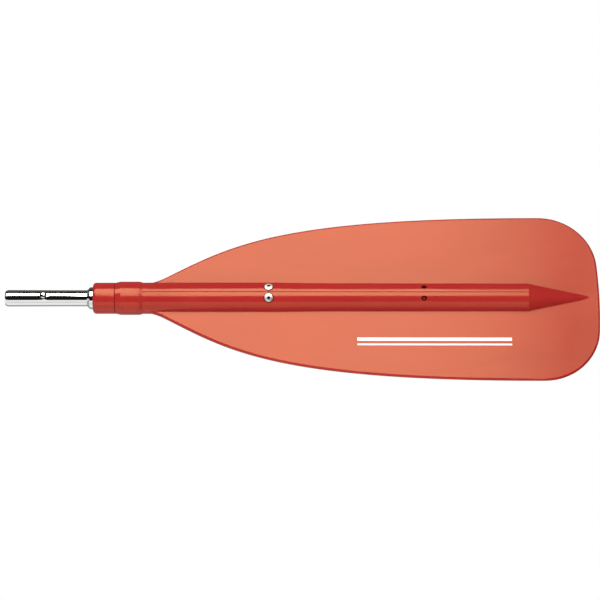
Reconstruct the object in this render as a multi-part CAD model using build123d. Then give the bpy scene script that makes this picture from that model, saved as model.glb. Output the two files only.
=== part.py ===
from build123d import *
import math
import os

# Single blade paddle: a moulded blade riveted onto a metal tube whose free end is
# reduced to a spigot for the shaft, with a spring button that locks the shaft on.
# Units are millimetres.
# +X runs along the tube towards the tip of the blade.
# +Z is the normal of the blade's front face, and +Y crosses the blade.
# The origin is on the tube's axis at the shoulder behind the spigot, which is the
# stop for the shaft that slides onto it.

# Tube and spigot
SPIGOT_LENGTH = 94.3
SPIGOT_LEAD = 3.6
SPIGOT_FRONT_R = 9.525
SPIGOT_SEAT_R = 9.3
SPIGOT_SEAT_LENGTH = 29.0
SHOULDER_LENGTH = 3.2
TUBE_R = 12.7
TUBE_WALL = 1.5
SPIGOT_BORE_R = 7.9
TUBE_END_X = 230.7

# Spring button
BUTTON_X = -50.2
BUTTON_R = 3.97
BUTTON_CLEARANCE = 0.08
BUTTON_TOP_Z = 12.4
BUTTON_DOME = 1.6
BUTTON_FLANGE_R = 4.7
BUTTON_FLANGE_TOP_Z = 6.3
BUTTON_FLANGE = 0.9
SPRING_WIDTH = 6.0
SPRING_GAUGE = 0.6
SPRING_BEND_X = -27.3
SPRING_BEND_R = 2.4
SPRING_TAIL_X = -58.3

# Socket collar, the separate end piece of the blade's socket
COLLAR_R = 17.95
COLLAR_FACE_X = 6.8
COLLAR_BACK_X = 32.3
COLLAR_EDGE_R = 3.8
COLLAR_PILOT_R = 15.0
COLLAR_PILOT_END_X = 47.7
PILOT_CLEARANCE = 0.05

# Neck ring, spine and nose of the blade
RING_FACE_X = 32.4
RING_FACE_R = 17.9
RING_START_X = 38.7
RING_END_X = 60.2
RING_R = 19.2
NECK_X = 64.6
NECK_R = 18.0
# The spine is a little thicker over the tube, and slims beyond the tube's end
SWELL_START_X = 100.0
SWELL_END_X = 218.0
SWELL_R = 18.35
SLIM_START_X = 268.0
SLIM_START_R = 17.65
SPINE_END_X = 508.2
SPINE_END_R = 17.25
NOSE_X = 579.0
SOCKET_CLEARANCE = 0.05
SOCKET_END_X = 481.7
CROWN_LINE_WIDTH = 1.3
CROWN_LINE_DEPTH = 0.8

# Blade sheet
THROAT_THICKNESS = 6.0
TIP_THICKNESS = 4.1
SHEET_EDGE_R = 2.0
THROAT_X = 66.0
THROAT_Y = 17.6
TIP_X = 591.1
TIP_R = 600.0
CORNER_R = 66.0
HALF_WIDTH = 102.9
# The hollow curve that leads the edge out of the neck, and the curve from there to
# the widest part
THROAT_PULL = (78.0, 18.8)
FLARE_START = (90.0, 25.4)
FLARE_PULL = [(165.3, 66.7), (219.5, HALF_WIDTH)]

# Rivets and the unused pair of holes
RIVET_ANGLE = 22.0
RIVET_X = 209.4
RIVET_R = 2.4
RIVET_HOLE_R = 2.45
RIVET_HEAD_R = 4.76
RIVET_HEAD_HEIGHT = 1.45
RIVET_HEAD_RIM = 0.5
RIVET_RECESS_R = 1.6
RIVET_RECESS_DEPTH = 3.0
RIVET_BULB_R = 3.2
RIVET_BULB_LENGTH = 2.3
RIVET_PIN_R = 1.2
RIVET_PIN_HEAD_R = 1.8
RIVET_PIN_HEAD = 1.3
SPARE_HOLE_X = 388.0
SPARE_HOLE_ANGLE = 24.0
SPARE_HOLE_R = 3.1
SPARE_HOLE_DEPTH = 3.8


def turned(points, arcs=()):
    """Solid of revolution about X from (x, radius) points, with some corners rounded.

    Each of arcs is (index of the point, radius of the rounding)."""
    with BuildSketch(Plane.XY) as sketch:
        with BuildLine():
            Polyline(*points, close=True)
        make_face()
        for index, radius in arcs:
            x, y = points[index]
            corner = sketch.vertices().sort_by_distance(Vector(x, y, 0))[0]
            fillet(corner, radius)
    return revolve(sketch.sketch, Axis.X)


def radial_plane(x, degrees):
    """Plane at the tube's axis, whose normal leans from +Z towards +Y by the angle."""
    lean = math.radians(degrees)
    outward = Vector(0, math.sin(lean), math.cos(lean))
    return Plane(origin=(x, 0, 0), x_dir=(1, 0, 0), z_dir=outward)


def upright(plane, start, end, radius):
    """Cylinder along the plane's normal, from start to end."""
    body = Cylinder(radius, end - start, align=(Align.CENTER, Align.CENTER, Align.MIN))
    return plane * Pos(0, 0, start) * body


# ---- spigot tube: one drawn tube, reduced at its free end to the spigot, which is
# very slightly smaller at its seat behind the button than at its front
free_end = -SPIGOT_LENGTH
big_end = SHOULDER_LENGTH
tube = turned(
    [
        (free_end, SPIGOT_FRONT_R - 1.3),
        (free_end + 1.5, SPIGOT_FRONT_R - 0.45),
        (free_end + SPIGOT_LEAD, SPIGOT_FRONT_R),
        (-SPIGOT_SEAT_LENGTH, SPIGOT_SEAT_R),
        (0.0, SPIGOT_SEAT_R),
        (big_end, TUBE_R),
        (TUBE_END_X, TUBE_R),
        (TUBE_END_X, TUBE_R - TUBE_WALL),
        (big_end + 0.8, TUBE_R - TUBE_WALL),
        (0.8, SPIGOT_BORE_R),
        (free_end, SPIGOT_BORE_R),
    ],
    arcs=[(5, 1.0)],
)
button_axis = radial_plane(BUTTON_X, 0)
tube -= upright(button_axis, 0, 20, BUTTON_R + BUTTON_CLEARANCE)

# ---- spring button: a domed pin with a flange that stays inside the tube
dome_start = BUTTON_TOP_Z - BUTTON_DOME
dome_r = (BUTTON_R**2 + BUTTON_DOME**2) / (2 * BUTTON_DOME)
flange_base = BUTTON_FLANGE_TOP_Z - BUTTON_FLANGE
with BuildSketch(Plane.XZ) as button_half:
    with BuildLine():
        Polyline(
            (0, BUTTON_TOP_Z),
            (0, flange_base),
            (BUTTON_FLANGE_R, flange_base),
            (BUTTON_FLANGE_R, BUTTON_FLANGE_TOP_Z),
            (BUTTON_R, BUTTON_FLANGE_TOP_Z),
            (BUTTON_R, dome_start),
        )
        RadiusArc((BUTTON_R, dome_start), (0, BUTTON_TOP_Z), -dome_r)
    make_face()
snap_button = Pos(BUTTON_X, 0, 0) * revolve(button_half.sketch, Axis.Z)

# ---- button spring: a bent leaf, one leg under the button and one on the tube's wall
wall_z = -math.sqrt(SPIGOT_BORE_R**2 - (SPRING_WIDTH / 2) ** 2)
half_gauge = SPRING_GAUGE / 2
upper_z = flange_base - half_gauge
lower_z = wall_z + half_gauge
bend_centre = (SPRING_BEND_X, lower_z + SPRING_BEND_R)
with BuildLine(Plane.XZ) as leaf:
    foot = Line((SPRING_TAIL_X, lower_z), (SPRING_BEND_X, lower_z))
    bend = CenterArc(bend_centre, SPRING_BEND_R, -90, 155)
    leg = Spline(bend @ 1, (BUTTON_X + 5, upper_z), tangents=[(-0.906, 0.423), (-1, 0)])
    seat = Line(leg @ 1, (SPRING_TAIL_X, upper_z))
leaf_section = Plane(origin=leaf.line @ 0, x_dir=(0, 1, 0), z_dir=(1, 0, 0))
button_spring = sweep(leaf_section * Rectangle(SPRING_WIDTH, SPRING_GAUGE), leaf.line)

# ---- socket collar: it closes the blade's socket around the tube
bore_r = TUBE_R + SOCKET_CLEARANCE
socket_collar = turned(
    [
        (COLLAR_FACE_X, bore_r),
        (COLLAR_FACE_X, COLLAR_R),
        (COLLAR_BACK_X, COLLAR_R),
        (COLLAR_BACK_X, COLLAR_PILOT_R),
        (COLLAR_PILOT_END_X, COLLAR_PILOT_R),
        (COLLAR_PILOT_END_X, bore_r),
    ],
    arcs=[(1, COLLAR_EDGE_R), (2, 0.6)],
)

# ---- blade: sheet, spine, neck ring and nose moulded in one
spine_line = [
    (NECK_X, NECK_R),
    (SWELL_START_X, SWELL_R),
    (SWELL_END_X, SWELL_R),
    (SLIM_START_X, SLIM_START_R),
    (SPINE_END_X, SPINE_END_R),
]
thinning = (THROAT_THICKNESS - TIP_THICKNESS) / 2 / (TIP_X - THROAT_X)
nose_z = TIP_THICKNESS / 2 + thinning * (TIP_X - NOSE_X)
nose_slope = (SPINE_END_R - nose_z) / (NOSE_X - SPINE_END_X)
spine_outer = turned(
    [
        (RING_FACE_X, 0),
        (RING_FACE_X, RING_FACE_R),
        (RING_START_X, RING_R),
        (RING_END_X, RING_R),
        *spine_line,
        (SPINE_END_X + SPINE_END_R / nose_slope, 0),
    ],
    arcs=[(1, 0.6), (2, 4.0), (3, 1.0), (4, 2.0)],
)

corner_y = HALF_WIDTH - CORNER_R
tip_centre_x = TIP_X - TIP_R
reach = TIP_R - CORNER_R
corner_x = tip_centre_x + math.sqrt(reach**2 - corner_y**2)
join_x = tip_centre_x + (corner_x - tip_centre_x) * TIP_R / reach
join_y = corner_y * TIP_R / reach
throat = (THROAT_X, THROAT_Y)
with BuildSketch(Plane.XY) as outline:
    with BuildLine():
        Line((THROAT_X, 0), throat)
        Bezier(throat, THROAT_PULL, FLARE_START)
        Bezier(FLARE_START, *FLARE_PULL, (corner_x, HALF_WIDTH))
        RadiusArc((corner_x, HALF_WIDTH), (join_x, join_y), CORNER_R)
        RadiusArc((join_x, join_y), (TIP_X, 0), TIP_R)
        mirror(about=Plane.XZ)
    make_face()
# The sheet thins evenly from the throat to the tip
with BuildSketch(Plane.XZ) as thickness:
    with BuildLine():
        Polyline(
            (THROAT_X, THROAT_THICKNESS / 2),
            (TIP_X, TIP_THICKNESS / 2),
            (TIP_X, -TIP_THICKNESS / 2),
            (THROAT_X, -THROAT_THICKNESS / 2),
            close=True,
        )
    make_face()
sheet = extrude(outline.sketch, THROAT_THICKNESS, both=True)
sheet &= extrude(thickness.sketch, 2 * HALF_WIDTH, both=True)
rim = [e for e in sheet.edges() if abs(e.center().Z) > 1 and e.center().X > THROAT_X + 1]
sheet = fillet(rim, SHEET_EDGE_R)

blade = spine_outer + sheet
pilot_r = COLLAR_PILOT_R + PILOT_CLEARANCE
pilot_bore = Cylinder(pilot_r, COLLAR_PILOT_END_X + 0.5 - RING_FACE_X + 1)
blade -= Pos((RING_FACE_X - 1 + COLLAR_PILOT_END_X + 0.5) / 2, 0, 0) * Rot(0, 90, 0) * pilot_bore
tube_bore = Cylinder(bore_r, SOCKET_END_X - RING_FACE_X)
blade -= Pos((SOCKET_END_X + RING_FACE_X) / 2, 0, 0) * Rot(0, 90, 0) * tube_bore
crown_floor = [(x, r - CROWN_LINE_DEPTH) for x, r in spine_line]
with BuildSketch(Plane.XZ) as crown_side:
    with BuildLine():
        Polyline(*crown_floor, (SPINE_END_X, 2 * SWELL_R), (NECK_X, 2 * SWELL_R), close=True)
    make_face()
blade -= extrude(crown_side.sketch, CROWN_LINE_WIDTH / 2, both=True)

# ---- blind rivets: domed head on the spine, shank through both walls, bulb in the tube
tube_inner_r = TUBE_R - TUBE_WALL
spine_form = Rot(0, 90, 0) * Cylinder(SWELL_R, 18)
tube_form = Rot(0, 90, 0) * Cylinder(tube_inner_r, 40)
head_top = SWELL_R + RIVET_HEAD_HEIGHT
head_base = SWELL_R - 1.0
spare_wall = SLIM_START_R + (SPINE_END_R - SLIM_START_R) * (
    (SPARE_HOLE_X - SLIM_START_X) / (SPINE_END_X - SLIM_START_X)
)
for angle in (SPARE_HOLE_ANGLE, -SPARE_HOLE_ANGLE):
    spare_hole = radial_plane(SPARE_HOLE_X, angle)
    blade -= upright(spare_hole, spare_wall - SPARE_HOLE_DEPTH, 25, SPARE_HOLE_R)
rivets = {}
pins = {}
for name, angle in (("upper", RIVET_ANGLE), ("lower", -RIVET_ANGLE)):
    stance = radial_plane(RIVET_X, angle)
    passage = upright(stance, 5, 25, RIVET_HOLE_R)
    blade -= passage
    tube -= passage

    rim_h = SWELL_R + RIVET_HEAD_RIM
    ball_r = (RIVET_HEAD_R**2 + (head_top - rim_h) ** 2) / (2 * (head_top - rim_h))
    head = upright(stance, head_base, head_top, RIVET_HEAD_R)
    head &= stance * Pos(0, 0, head_top - ball_r) * Sphere(ball_r)
    head -= Pos(RIVET_X, 0, 0) * spine_form
    shank = upright(stance, tube_inner_r - RIVET_BULB_LENGTH, SWELL_R + 0.3, RIVET_R)
    bulb_top = tube_inner_r
    bulb = upright(stance, bulb_top - RIVET_BULB_LENGTH, bulb_top, RIVET_BULB_R)
    bulb = fillet(bulb.edges().group_by(Axis(stance.origin, stance.z_dir))[0], 0.8)
    bulb &= Pos(RIVET_X, 0, 0) * tube_form
    rivet = head + shank + bulb
    rivet -= upright(stance, 0, 30, RIVET_PIN_R + 0.02)
    recess = upright(stance, head_top - RIVET_RECESS_DEPTH, 30, RIVET_RECESS_R)
    rivets[name] = rivet - recess

    bulb_end = bulb_top - RIVET_BULB_LENGTH
    pin_top = head_top - RIVET_RECESS_DEPTH - 0.2
    pin = upright(stance, bulb_end - RIVET_PIN_HEAD, pin_top, RIVET_PIN_R)
    pin += upright(stance, bulb_end - RIVET_PIN_HEAD, bulb_end, RIVET_PIN_HEAD_R)
    pins[name] = pin

# ---- write each piece
pieces = {
    "blade": blade,
    "socket_collar": socket_collar,
    "spigot_tube": tube,
    "snap_button": snap_button,
    "button_spring": button_spring,
    "rivet_upper": rivets["upper"],
    "rivet_lower": rivets["lower"],
    "rivet_pin_upper": pins["upper"],
    "rivet_pin_lower": pins["lower"],
}
os.makedirs("parts", exist_ok=True)
for name, shape in pieces.items():
    export_step(shape, f"parts/{name}.step")
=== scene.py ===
import bpy
import math
from mathutils import Matrix, Vector


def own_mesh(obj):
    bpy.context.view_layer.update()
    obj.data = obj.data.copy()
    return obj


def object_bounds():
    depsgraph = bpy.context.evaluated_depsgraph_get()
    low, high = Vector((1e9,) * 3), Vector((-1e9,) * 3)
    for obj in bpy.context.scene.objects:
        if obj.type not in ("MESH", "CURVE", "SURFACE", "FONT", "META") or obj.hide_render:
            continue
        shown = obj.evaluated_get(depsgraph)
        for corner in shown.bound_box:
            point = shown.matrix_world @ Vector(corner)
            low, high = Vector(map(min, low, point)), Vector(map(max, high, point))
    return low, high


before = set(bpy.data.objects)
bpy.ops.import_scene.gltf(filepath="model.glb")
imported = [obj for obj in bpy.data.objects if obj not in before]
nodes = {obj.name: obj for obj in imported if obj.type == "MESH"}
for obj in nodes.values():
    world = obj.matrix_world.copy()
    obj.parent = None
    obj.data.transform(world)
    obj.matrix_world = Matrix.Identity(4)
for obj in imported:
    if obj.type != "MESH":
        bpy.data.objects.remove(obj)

cad_low, cad_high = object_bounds()
MM = 0.001


# ---------------------------------------------------------------- node helpers
def new_material(name):
    """Empty node material with a Principled shader wired to its output."""
    material = bpy.data.materials.new(name)
    material.use_nodes = True
    tree = material.node_tree
    tree.nodes.clear()
    output = tree.nodes.new("ShaderNodeOutputMaterial")
    shader = tree.nodes.new("ShaderNodeBsdfPrincipled")
    tree.links.new(shader.outputs["BSDF"], output.inputs["Surface"])
    return material, tree, shader


def position(tree):
    """The rest position of a point on a CAD node, in metres."""
    coords = tree.nodes.new("ShaderNodeTexCoord")
    return coords.outputs["Object"]


def scaled(tree, vector, scale):
    """vector with each axis multiplied, so that a pattern can be drawn out along one."""
    mapping = tree.nodes.new("ShaderNodeMapping")
    mapping.inputs["Scale"].default_value = scale
    tree.links.new(vector, mapping.inputs["Vector"])
    return mapping.outputs["Vector"]


def noise(tree, vector, scale, detail=4.0, roughness=0.5, distortion=0.0):
    node = tree.nodes.new("ShaderNodeTexNoise")
    node.inputs["Scale"].default_value = scale
    node.inputs["Detail"].default_value = detail
    node.inputs["Roughness"].default_value = roughness
    node.inputs["Distortion"].default_value = distortion
    tree.links.new(vector, node.inputs["Vector"])
    return node.outputs["Fac"]


def remap(tree, value, low, high, to_low, to_high, smooth=False):
    node = tree.nodes.new("ShaderNodeMapRange")
    node.interpolation_type = "SMOOTHSTEP" if smooth else "LINEAR"
    node.inputs["From Min"].default_value = low
    node.inputs["From Max"].default_value = high
    node.inputs["To Min"].default_value = to_low
    node.inputs["To Max"].default_value = to_high
    tree.links.new(value, node.inputs["Value"])
    return node.outputs["Result"]


def maths(tree, operation, a, b=None):
    node = tree.nodes.new("ShaderNodeMath")
    node.operation = operation
    for socket, value in zip(node.inputs, (a, b)):
        if value is None:
            continue
        if isinstance(value, (int, float)):
            socket.default_value = value
        else:
            tree.links.new(value, socket)
    return node.outputs["Value"]


def mixed(tree, factor, a, b):
    """Colour a where factor is 0 and colour b where it is 1."""
    node = tree.nodes.new("ShaderNodeMix")
    node.data_type = "RGBA"
    tree.links.new(factor, node.inputs["Factor"])
    for name, value in (("A", a), ("B", b)):
        socket = [s for s in node.inputs if s.name == name and s.type == "RGBA"][0]
        if isinstance(value, tuple):
            socket.default_value = (*value, 1.0)
        else:
            tree.links.new(value, socket)
    return [s for s in node.outputs if s.type == "RGBA"][0]


def bump(tree, height, distance, strength=1.0, normal=None):
    node = tree.nodes.new("ShaderNodeBump")
    node.inputs["Strength"].default_value = strength
    node.inputs["Distance"].default_value = distance
    tree.links.new(height, node.inputs["Height"])
    if normal is not None:
        tree.links.new(normal, node.inputs["Normal"])
    return node.outputs["Normal"]


def axis_value(tree, vector, axis):
    node = tree.nodes.new("ShaderNodeSeparateXYZ")
    tree.links.new(vector, node.inputs["Vector"])
    return node.outputs[axis]


def inside_hole(tree, vector, x, lean, radius, blur):
    """1 within radius of the leaning axis of a pair of holes at x, and 0 outside."""
    lean = math.radians(lean)
    along = maths(tree, "SUBTRACT", axis_value(tree, vector, "X"), x)
    side = maths(tree, "ABSOLUTE", axis_value(tree, vector, "Y"))
    side = maths(tree, "MULTIPLY", side, math.cos(lean))
    height = maths(tree, "MULTIPLY", axis_value(tree, vector, "Z"), math.sin(lean))
    across = maths(tree, "SUBTRACT", side, height)
    squares = maths(
        tree,
        "ADD",
        maths(tree, "MULTIPLY", along, along),
        maths(tree, "MULTIPLY", across, across),
    )
    distance = maths(tree, "SQRT", squares)
    return remap(tree, distance, radius - blur, radius + blur, 1.0, 0.0)


def stripe(tree, value, middle, half, soft):
    """1 within half of middle, and 0 outside."""
    low = remap(tree, value, middle - half - soft, middle - half + soft, 0.0, 1.0)
    high = remap(tree, value, middle + half - soft, middle + half + soft, 1.0, 0.0)
    return maths(tree, "MULTIPLY", low, high)


# ------------------------------------------------------------------- materials
# Colours of the plastic, then painted shade and painted light for its holes, seams and
# rivet seats, of the print, and of the metal with painted shade for the rivets' recesses
# and pins
RED = (0.285, 0.016, 0.014)
RED_DEEP = (0.262, 0.0135, 0.0125)
RED_PALE = (0.315, 0.025, 0.020)
# Painted shade in the open holes, then a painted lit spot on their floors
HOLE_SHADE_RED = (0.050, 0.003, 0.003)
HOLE_FLOOR_LIT = (0.45, 0.022, 0.018)
# Painted shade for the seams, the ring's end and round the rivet heads
SEAT_SHADE = (0.070, 0.006, 0.005)
PRINT_WHITE = (0.86, 0.85, 0.82)
# Painted shade in the rivets' recesses
RECESS_SHADE_BLACK = (0.004, 0.004, 0.0035)
TUBE_SILVER = (0.80, 0.80, 0.79)
SPRING_GREY = (0.52, 0.52, 0.53)
RIVET_CREAM = (0.93, 0.90, 0.81)
# Painted shade on the pins deep in the rivets' recesses
PIN_SHADE_BLACK = (0.012, 0.012, 0.011)

# Where the marks are: rivets and open holes lean from +Z towards +Y and -Y
RIVET_X, RIVET_LEAN = 209.4 * MM, 22.0
# RIVET_RECESS bounds the painted black shade in each rivet's recess, RIVET_SEAT the
# painted shadow ring round each head
RIVET_RECESS, RIVET_SEAT = 1.95 * MM, 5.8 * MM
SEAM_X, SEAM_HALF = 32.35 * MM, 0.55 * MM
RING_LINE_X, RING_LINE_HALF = 58.3 * MM, 0.25 * MM
SPARE_X, SPARE_LEAN = 388.0 * MM, 24.0
# SPARE_RADIUS bounds the painted shade in each open hole, SPARE_FLOOR the painted lit spot
# on its floor
SPARE_RADIUS, SPARE_FLOOR = 3.1 * MM, 1.5 * MM
# Two printed stripes on the front face, each as (Y of its middle, half its width)
PRINT_X, PRINT_HALF = 399.6 * MM, 88.4 * MM
PRINT_STRIPES = [(-52.5 * MM, 1.9 * MM), (-59.0 * MM, 0.9 * MM)]
PRINT_BLUR = 0.3 * MM
FRONT_LOW, FRONT_HIGH = 1.0 * MM, 1.2 * MM
HOLE_BLUR, SEAM_BLUR = 0.15 * MM, 0.2 * MM
SEAT_BLUR, SPARE_FLOOR_BLUR = 0.3 * MM, 0.6 * MM
# How far painted shade darkens a seam, how strong the painted shade line at the ring's
# end is next to it, and the shine of plain and of dulled plastic
SEAM_DARK, RING_LINE_PART = 0.4, 0.7
SHINE_PLAIN, SHINE_DULLED = 0.5, 0.08


def red_plastic(name, with_print_and_painted_shade):
    """Glossy moulded plastic: slow flow marks, a fine moulded skin, light scuffs.

    Seams and holes get painted shade and are dull. with_print_and_painted_shade adds what
    only the blade has: the printed stripes, the painted shade line at the ring's end, the
    open holes with painted shade on their walls and a painted lit spot on their floors,
    and a painted shadow ring round the rivets' seats."""
    material, tree, shader = new_material(name)
    here = position(tree)
    flow = noise(tree, scaled(tree, here, (4.0, 11.0, 11.0)), 1.6, 5.0, 0.55, 0.6)
    cloud = noise(tree, here, 26.0, 6.0, 0.6)
    tone = remap(tree, flow, 0.32, 0.68, 0.0, 1.0, smooth=True)
    colour = mixed(tree, tone, RED_DEEP, RED)
    speckle = remap(tree, cloud, 0.52, 0.80, 0.0, 0.2)
    colour = mixed(tree, speckle, colour, RED_PALE)

    scratch_space = scaled(tree, here, (60.0, 900.0, 900.0))
    scratches = noise(tree, scratch_space, 1.0, 3.0, 0.6, 1.2)
    scuff = remap(tree, scratches, 0.66, 0.80, 0.0, 1.0)
    skin = noise(tree, here, 1100.0, 3.0, 0.6)
    gloss = remap(tree, cloud, 0.3, 0.7, 0.13, 0.20)
    rough = maths(tree, "ADD", gloss, maths(tree, "MULTIPLY", scuff, 0.05))

    x = axis_value(tree, here, "X")
    # Painted shade and dulled shine along the seam between collar and ring, and on the
    # blade along the ring's end
    dulled = stripe(tree, x, SEAM_X, SEAM_HALF, SEAM_BLUR)
    if with_print_and_painted_shade:
        ring_edge_shade = stripe(tree, x, RING_LINE_X, RING_LINE_HALF, SEAM_BLUR)
        ring_edge_shade = maths(tree, "MULTIPLY", ring_edge_shade, RING_LINE_PART)
        dulled = maths(tree, "MAXIMUM", dulled, ring_edge_shade)
    seam_shade = maths(tree, "MULTIPLY", dulled, SEAM_DARK)
    colour = mixed(tree, seam_shade, colour, SEAT_SHADE)

    if with_print_and_painted_shade:
        y = axis_value(tree, here, "Y")
        z = axis_value(tree, here, "Z")
        along = stripe(tree, x, PRINT_X, PRINT_HALF, PRINT_BLUR)
        front = remap(tree, z, FRONT_LOW, FRONT_HIGH, 0.0, 1.0)
        stripes = [stripe(tree, y, *place, PRINT_BLUR) for place in PRINT_STRIPES]
        ink = maths(tree, "MAXIMUM", *stripes)
        ink = maths(tree, "MULTIPLY", ink, maths(tree, "MULTIPLY", along, front))
        ink = maths(tree, "MULTIPLY", ink, remap(tree, cloud, 0.30, 0.36, 0.90, 1.0))
        colour = mixed(tree, ink, colour, PRINT_WHITE)
        rough = maths(tree, "ADD", rough, maths(tree, "MULTIPLY", ink, 0.16))

        # Open holes: painted shade on their walls, a painted lit spot on their floors
        hole = inside_hole(tree, here, SPARE_X, SPARE_LEAN, SPARE_RADIUS, HOLE_BLUR)
        colour = mixed(tree, hole, colour, HOLE_SHADE_RED)
        lit_floor_spot = inside_hole(
            tree, here, SPARE_X, SPARE_LEAN, SPARE_FLOOR, SPARE_FLOOR_BLUR
        )
        colour = mixed(tree, lit_floor_spot, colour, HOLE_FLOOR_LIT)
        # Painted shadow ring round each rivet head
        seat_shadow = inside_hole(tree, here, RIVET_X, RIVET_LEAN, RIVET_SEAT, SEAT_BLUR)
        colour = mixed(tree, seat_shadow, colour, SEAT_SHADE)
        dulled = maths(tree, "MAXIMUM", dulled, maths(tree, "MAXIMUM", hole, seat_shadow))
    shine = remap(tree, dulled, 0.0, 1.0, SHINE_PLAIN, SHINE_DULLED)
    tree.links.new(shine, shader.inputs["Specular IOR Level"])

    tree.links.new(colour, shader.inputs["Base Color"])
    tree.links.new(rough, shader.inputs["Roughness"])
    fine = bump(tree, skin, 0.000010, 0.5)
    wavy = noise(tree, scaled(tree, here, (9.0, 9.0, 9.0)), 1.0, 2.0, 0.4)
    slow = bump(tree, wavy, 0.00025, 0.6, fine)
    tree.links.new(bump(tree, scuff, 0.000006, 0.5, slow), shader.inputs["Normal"])
    shader.inputs["IOR"].default_value = 1.5
    shader.inputs["Specular Tint"].default_value = (1.0, 0.62, 0.32, 1.0)
    return material


def polished_metal(
    name, colour, grain, rough, along=(40.0, 1600.0, 1600.0), recess=False
):
    """Polished metal: fine lines, drawn out by along, and faint handling marks.

    With recess, the hole in the head of each rivet is painted black as shade."""
    material, tree, shader = new_material(name)
    here = position(tree)
    lines = noise(tree, scaled(tree, here, along), 1.0, 4.0, 0.6, 0.2)
    marks = noise(tree, here, 90.0, 5.0, 0.6, 0.4)
    darker = tuple(0.86 * c for c in colour)
    tone = remap(tree, lines, 0.3, 0.7, 0.0, 1.0)
    shade = mixed(tree, tone, darker, colour)
    if recess:
        # Painted shade: the recess in each rivet head is black
        hole = inside_hole(tree, here, RIVET_X, RIVET_LEAN, RIVET_RECESS, HOLE_BLUR)
        shade = mixed(tree, hole, shade, RECESS_SHADE_BLACK)
    tree.links.new(shade, shader.inputs["Base Color"])
    worn = remap(tree, marks, 0.45, 0.75, rough, rough + 0.07, smooth=True)
    tree.links.new(worn, shader.inputs["Roughness"])
    shader.inputs["Metallic"].default_value = 1.0
    tree.links.new(bump(tree, lines, grain, 0.5), shader.inputs["Normal"])
    return material


blade_red = red_plastic("blade_red", True)
collar_red = red_plastic("collar_red", False)
tube_metal = polished_metal("tube_metal", TUBE_SILVER, 0.0000004, 0.015)
button_metal = polished_metal(
    "button_metal", TUBE_SILVER, 0.000002, 0.07, (700.0, 700.0, 700.0)
)
spring_metal = polished_metal("spring_metal", SPRING_GREY, 0.000006, 0.22)
rivet_metal = polished_metal(
    "rivet_metal", RIVET_CREAM, 0.000006, 0.45, (500.0, 500.0, 500.0), True
)
# The pins sit deep in the rivets' recesses: their near-black is painted shade
pin_metal = polished_metal(
    "pin_metal", PIN_SHADE_BLACK, 0.00001, 0.5, (900.0, 900.0, 900.0)
)

FINISHES = {
    "blade": blade_red,
    "socket_collar": collar_red,
    "spigot_tube": tube_metal,
    "snap_button": button_metal,
    "button_spring": spring_metal,
    "rivet_upper": rivet_metal,
    "rivet_lower": rivet_metal,
    "rivet_pin_upper": pin_metal,
    "rivet_pin_lower": pin_metal,
}
for name, material in FINISHES.items():
    mesh_object = nodes[name]
    mesh_object.data.materials.clear()
    mesh_object.data.materials.append(material)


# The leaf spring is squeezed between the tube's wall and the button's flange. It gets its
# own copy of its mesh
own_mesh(nodes["button_spring"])


# ------------------------------------------------------------------- the studio
def staged(name, corners):
    """Flat piece of the studio, from its corners."""
    mesh = bpy.data.meshes.new(name)
    mesh.from_pydata([tuple(c) for c in corners], [], [tuple(range(len(corners)))])
    made = bpy.data.objects.new(name, mesh)
    bpy.context.scene.collection.objects.link(made)
    return made


def glowing(name, strength):
    """Emission material, with its tree and its shader."""
    material = bpy.data.materials.new(name)
    material.use_nodes = True
    tree = material.node_tree
    tree.nodes.clear()
    output = tree.nodes.new("ShaderNodeOutputMaterial")
    emission = tree.nodes.new("ShaderNodeEmission")
    emission.inputs["Strength"].default_value = strength
    tree.links.new(emission.outputs["Emission"], output.inputs["Surface"])
    return material, tree, emission


def ramp(tree, value, stops):
    """Grey level along a list of (place from 0 to 1, level), straight between them."""
    node = tree.nodes.new("ShaderNodeValToRGB")
    node.color_ramp.interpolation = "LINEAR"
    while len(node.color_ramp.elements) < len(stops):
        node.color_ramp.elements.new(1.0)
    for element, (place, level) in zip(node.color_ramp.elements, stops):
        element.position = place
        element.color = (level, level, level, 1.0)
    tree.links.new(value, node.inputs["Fac"])
    return node.outputs["Color"]


def tilted(degrees):
    """Direction in the YZ plane, leaning from +Z towards +Y."""
    lean = math.radians(degrees)
    return Vector((0.0, math.sin(lean), math.cos(lean)))


object_centre = (cad_low + cad_high) / 2
floor_z = cad_low.z

# Floor of white paper: pure white to the camera and a plain grey to everything else
FLOOR_HALF = 7.0
FLOOR_GAP = 0.5 * MM
FLOOR_GREY = (0.50, 0.50, 0.50, 1.0)
floor_corners = []
for a, b in ((-1, -1), (1, -1), (1, 1), (-1, 1)):
    spot = (object_centre.x + a * FLOOR_HALF, b * FLOOR_HALF, floor_z - FLOOR_GAP)
    floor_corners.append(spot)
floor = staged("floor", floor_corners)
floor_material, floor_tree, floor_shader = new_material("floor_paper")
floor_shader.inputs["Base Color"].default_value = FLOOR_GREY
floor_shader.inputs["Roughness"].default_value = 0.9
floor_shader.inputs["Specular IOR Level"].default_value = 0.1
floor_white = floor_tree.nodes.new("ShaderNodeEmission")
floor_white.inputs["Color"].default_value = (1.0, 1.0, 1.0, 1.0)
floor_ray = floor_tree.nodes.new("ShaderNodeLightPath")
floor_blend = floor_tree.nodes.new("ShaderNodeMixShader")
floor_output = [n for n in floor_tree.nodes if n.type == "OUTPUT_MATERIAL"][0]
floor_tree.links.new(floor_ray.outputs["Is Camera Ray"], floor_blend.inputs[0])
floor_tree.links.new(floor_shader.outputs["BSDF"], floor_blend.inputs[1])
floor_tree.links.new(floor_white.outputs["Emission"], floor_blend.inputs[2])
floor_tree.links.new(floor_blend.outputs["Shader"], floor_output.inputs["Surface"])
floor.data.materials.append(floor_material)
floor.visible_glossy = False

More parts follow.
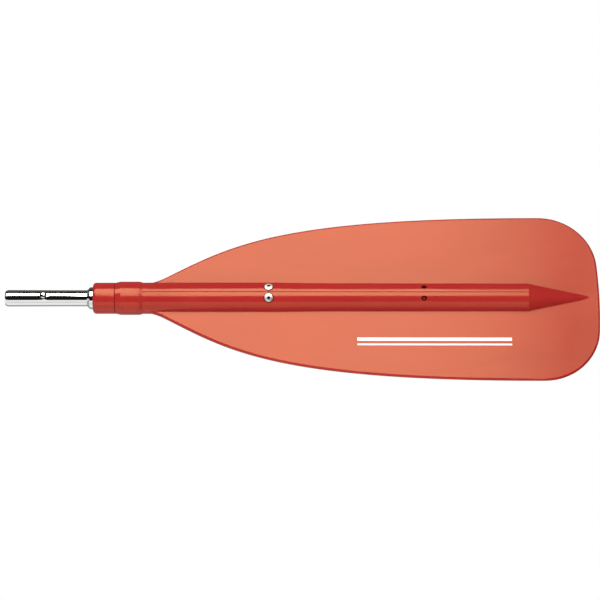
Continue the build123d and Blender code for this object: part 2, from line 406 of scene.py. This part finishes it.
# Large softbox above and behind: it makes the sheen on the sheet. Its outline is given
# as (X, angle about X) and its level by X
SOFTBOX_DISTANCE = 1.5
SOFTBOX_STRENGTH = 7.25
SOFTBOX_LEFT, SOFTBOX_RIGHT = -1.1, 0.86
SOFTBOX_LOW, SOFTBOX_HIGH = -9.6, 48.5
SOFTBOX_OUTLINE = [
    (0.30, -5.0),
    (SOFTBOX_RIGHT, -5.0),
    (SOFTBOX_RIGHT, SOFTBOX_HIGH),
    (SOFTBOX_LEFT, SOFTBOX_HIGH),
    (SOFTBOX_LEFT, 14.0),
    (-0.17, 14.0),
    (-0.10, -6.4),
    (-0.05, SOFTBOX_LOW),
]
SOFTBOX_LEVELS = [
    (0.44, 1.0),
    (0.60, 0.86),
    (0.68, 0.70),
    (0.72, 0.20),
    (0.775, 0.13),
    (0.79, 0.95),
    (SOFTBOX_RIGHT, 0.95),
]
middle = (SOFTBOX_LOW + SOFTBOX_HIGH) / 2
direction = tilted(middle)
across = Vector((0.0, direction.z, -direction.y))
corners = []
for x, theta in SOFTBOX_OUTLINE:
    rise = SOFTBOX_DISTANCE * math.tan(math.radians(theta - middle))
    corners.append(Vector((x, 0, 0)) + direction * SOFTBOX_DISTANCE + across * rise)
softbox = staged("softbox", corners)
softbox_glow, glow_tree, emission = glowing("softbox_glow", SOFTBOX_STRENGTH)
glow_x = axis_value(glow_tree, position(glow_tree), "X")
width_part = remap(glow_tree, glow_x, SOFTBOX_LEFT, SOFTBOX_RIGHT, 0.0, 1.0)
span = SOFTBOX_RIGHT - SOFTBOX_LEFT
levels = [((x - SOFTBOX_LEFT) / span, level) for x, level in SOFTBOX_LEVELS]
glow_level = ramp(glow_tree, width_part, levels)
glow_tree.links.new(glow_level, emission.inputs["Color"])
softbox.data.materials.append(softbox_glow)
softbox.visible_camera = False

# Studio surroundings: reflections see bands of brightness by the angle about X, from
# +Z towards +Y, that fade towards the blade's end, and matt surfaces see an even grey
WORLD_BANDS = [
    (-180, 0.45),
    (-134, 1.10),
    (-95, 0.87),
    (-72, 1.15),
    (-50, 0.01),
    (46, 0.015),
    (76, 0.10),
    (155, 0.30),
]
BAND_BLEND = 0.004
WORLD_FADE = (0.25, 0.40, 0.05)
WORLD_EVEN = (0.21, 0.21, 0.21)
world = bpy.data.worlds.new("studio")
bpy.context.scene.world = world
world.use_nodes = True
sky = world.node_tree
background = sky.nodes["Background"]
background.inputs["Strength"].default_value = 1.0
sky_coords = sky.nodes.new("ShaderNodeTexCoord").outputs["Generated"]
sky_y = axis_value(sky, sky_coords, "Y")
sky_z = axis_value(sky, sky_coords, "Z")
angle = maths(sky, "ARCTAN2", sky_y, sky_z)
around = remap(sky, angle, -math.pi, math.pi, 0.0, 1.0)
stops = []
for index, (start, level) in enumerate(WORLD_BANDS):
    place = (start + 180) / 360
    if index:
        stops.append((place - BAND_BLEND, WORLD_BANDS[index - 1][1]))
    stops.append((place + BAND_BLEND if index else 0.0, level))
bands = ramp(sky, around, stops)
fade_start, fade_end, fade_rest = WORLD_FADE
sky_x = axis_value(sky, sky_coords, "X")
fading = remap(sky, sky_x, fade_start, fade_end, 0.0, 1.0, smooth=True)
bands = mixed(sky, fading, bands, (fade_rest, fade_rest, fade_rest))
ray = sky.nodes.new("ShaderNodeLightPath")
lit = mixed(sky, ray.outputs["Is Glossy Ray"], WORLD_EVEN, bands)
seen = mixed(sky, ray.outputs["Is Camera Ray"], lit, (1.0, 1.0, 1.0))
sky.links.new(seen, background.inputs["Color"])

# Broad fill from the camera's lower side. Reflections don't see it
FILL_ANGLE = -78.0
FILL_DISTANCE = 1.6
FILL_X = 0.15
fill_data = bpy.data.lights.new("fill", "AREA")
fill_data.energy = 34.0
fill_data.size = 1.5
fill = bpy.data.objects.new("fill", fill_data)
bpy.context.scene.collection.objects.link(fill)
fill_from = tilted(FILL_ANGLE)
fill_up = Vector((0.0, fill_from.z, -fill_from.y))
fill_turn = Matrix((Vector((1.0, 0.0, 0.0)), fill_up, fill_from)).transposed()
fill_place = Vector((FILL_X, 0.0, 0.0)) + fill_from * FILL_DISTANCE
fill.matrix_world = Matrix.Translation(fill_place) @ fill_turn.to_4x4()
fill.visible_glossy = False

# ------------------------------------------------------------------- the camera
CAMERA_ROLL = 24.4
CAMERA_DISTANCE = 2.79
CAMERA_X = 0.2454
CAMERA_DROP = 1.96 * MM
back = tilted(-CAMERA_ROLL)
upward = Vector((0.0, back.z, -back.y))
aim = Vector((CAMERA_X, 0.0, 0.0)) - upward * CAMERA_DROP
camera_data = bpy.data.cameras.new("camera")
camera_data.lens = 145.0
camera_data.sensor_width = 36.0
camera_data.clip_end = 50.0
camera = bpy.data.objects.new("camera", camera_data)
bpy.context.scene.collection.objects.link(camera)
right = Vector((1.0, 0.0, 0.0))
turn = Matrix((right, upward, back)).transposed()
camera.matrix_world = Matrix.Translation(aim + back * CAMERA_DISTANCE) @ turn.to_4x4()
bpy.context.scene.camera = camera
bpy.context.scene.view_settings.view_transform = "Standard"
